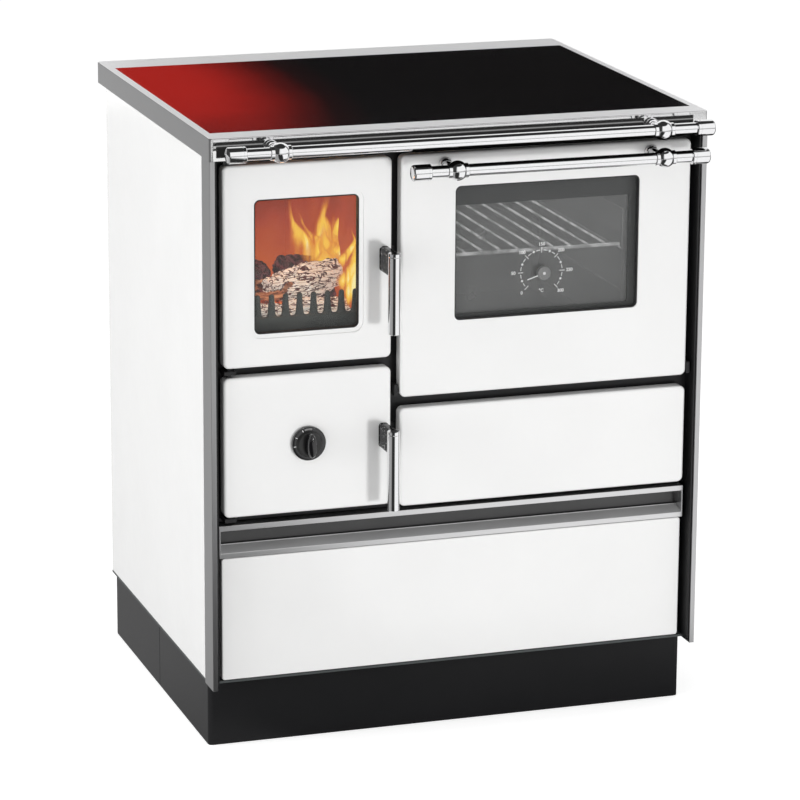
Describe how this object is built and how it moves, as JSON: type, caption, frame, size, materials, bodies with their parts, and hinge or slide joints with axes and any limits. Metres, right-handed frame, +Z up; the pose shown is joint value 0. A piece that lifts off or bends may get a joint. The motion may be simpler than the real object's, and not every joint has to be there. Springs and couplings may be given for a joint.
{
  "type": "wood cookstove",
  "caption": "Free-standing wood-fired cookstove with glass ceramic hob, glazed fire door, ash door, glazed oven door with thermometer, clean-out panel and wood drawer.",
  "frame": {"origin": "on the floor, below the middle of the hob", "axes": "+X to the viewer's right, +Y to the back wall, +Z up"},
  "size_m": [0.7, 0.715, 0.85],
  "materials": {
    "plinth_black": "satin black powder coat",
    "foot_steel": "zinc plated",
    "sheet_steel": "galvanised sheet",
    "enamel_white": "glossy white enamel",
    "trim_steel": "satin stainless steel",
    "frame_black": "satin black stove paint",
    "hob_steel": "stainless steel, bright front edge",
    "hob_black_glass": "black glass ceramic",
    "seal_white": "ceramic fibre tape",
    "rail_chrome": "polished",
    "firebox_steel": "heat stained sheet steel",
    "firebrick": "fired chamotte",
    "grey_iron": "bare grey cast iron",
    "oven_enamel": "dark grey speckled oven enamel",
    "wire_chrome": "bright wire",
    "collar_black": "black stove paint",
    "window_glass": "clear heat resistant glass",
    "rope_grey": "braided glass rope",
    "hinge_steel": "steel",
    "boss_black": "glossy black",
    "grip_aluminium": "fine brushed, anodised",
    "knob_black": "glossy black",
    "bush_brass": "plain",
    "pointer_white": "white"
  },
  "bodies": {
    "root": {"plinth_front": "plinth_black", "plinth_rear": "plinth_black", "levelling_feet": "foot_steel", "base_plate": "sheet_steel", "side_panel_left": "enamel_white", "side_panel_right": "enamel_white", "corner_trims": "trim_steel", "back_panel": "sheet_steel", "front_frame": "frame_black", "bay_floor": "sheet_steel", "hob_frame": "hob_steel", "hob_glass": "hob_black_glass", "hob_seal": "seal_white", "hob_rail_tube": "rail_chrome", "hob_rail_fittings": "rail_chrome", "firebox_casing": "firebox_steel", "firebricks": "firebrick", "firebox_floor": "grey_iron", "fire_grate": "grey_iron", "log_guard": "grey_iron", "ash_pan": "sheet_steel", "oven_box": "oven_enamel", "smoke_duct": "firebox_steel", "flue_collar": "collar_black", "cleanout_hatch": "grey_iron", "rack_runners": "wire_chrome", "oven_rack": "wire_chrome", "door_hardware": "hinge_steel", "drawer_rails": "sheet_steel"},
    "fire_door": {"fire_door_panel": "enamel_white", "fire_door_glass": "window_glass", "fire_door_gasket": "seal_white", "fire_door_inner_frame": "grey_iron", "fire_door_rope": "rope_grey", "fire_door_pins": "hinge_steel"},
    "fire_lever": {"fire_lever_grip": "rail_chrome", "fire_lever_latch": "boss_black"},
    "ash_door": {"ash_door_panel": "enamel_white", "ash_door_inner_plate": "grey_iron", "ash_door_rope": "rope_grey", "ash_door_pins": "hinge_steel"},
    "ash_lever": {"ash_lever_grip": "rail_chrome", "ash_lever_latch": "boss_black"},
    "air_control": {"air_knob": "knob_black", "air_disc": "hinge_steel"},
    "oven_door": {"oven_door_panel": "enamel_white", "oven_door_glass": "window_glass", "oven_door_inner_frame": "frame_black", "oven_door_inner_glass": "window_glass", "oven_door_rope": "rope_grey", "oven_door_pins": "hinge_steel", "oven_handle_tube": "rail_chrome", "oven_handle_fittings": "rail_chrome", "thermometer_bush": "bush_brass"},
    "pointer": {"thermometer_pointer": "pointer_white"},
    "cover": {"cleanout_panel": "enamel_white"},
    "drawer": {"drawer_front": "enamel_white", "drawer_grip": "grip_aluminium", "drawer_box": "sheet_steel", "drawer_runners": "hinge_steel"}
  },
  "joints": [
    {"name": "fire_door_hinge", "type": "hinge", "parent": "root", "child": "fire_door", "pos_m": [-0.321, -0.282, 0.674], "axis": [0, 0, -1], "range_deg": [0, 100]},
    {"name": "fire_lever_turn", "type": "hinge", "parent": "fire_door", "child": "fire_lever", "pos_m": [-0.1075, -0.292, 0.6735], "axis": [0, 1, 0], "range_deg": [0, 60]},
    {"name": "ash_door_hinge", "type": "hinge", "parent": "root", "child": "ash_door", "pos_m": [-0.321, -0.282, 0.42775], "axis": [0, 0, -1], "range_deg": [0, 100]},
    {"name": "ash_lever_turn", "type": "hinge", "parent": "ash_door", "child": "ash_lever", "pos_m": [-0.1075, -0.292, 0.43], "axis": [0, 1, 0], "range_deg": [0, 60]},
    {"name": "air_knob_turn", "type": "hinge", "parent": "ash_door", "child": "air_control", "pos_m": [-0.21375, -0.292, 0.42775], "axis": [0, 1, 0], "range_deg": [0, 270]},
    {"name": "oven_door_hinge", "type": "hinge", "parent": "root", "child": "oven_door", "pos_m": [0.12325, -0.28, 0.489], "axis": [1, 0, 0], "range_deg": [0, 90]},
    {"name": "pointer_turn", "type": "hinge", "parent": "oven_door", "child": "pointer", "pos_m": [0.124, -0.279, 0.635], "axis": [0, 1, 0], "range_deg": [-27, 243]},
    {"name": "cover_pull", "type": "slide", "parent": "root", "child": "cover", "axis": [0, -1, 0], "range_m": [0, 0.08]},
    {"name": "drawer_slide", "type": "slide", "parent": "root", "child": "drawer", "axis": [0, -1, 0], "range_m": [0, 0.35]}
  ]
}
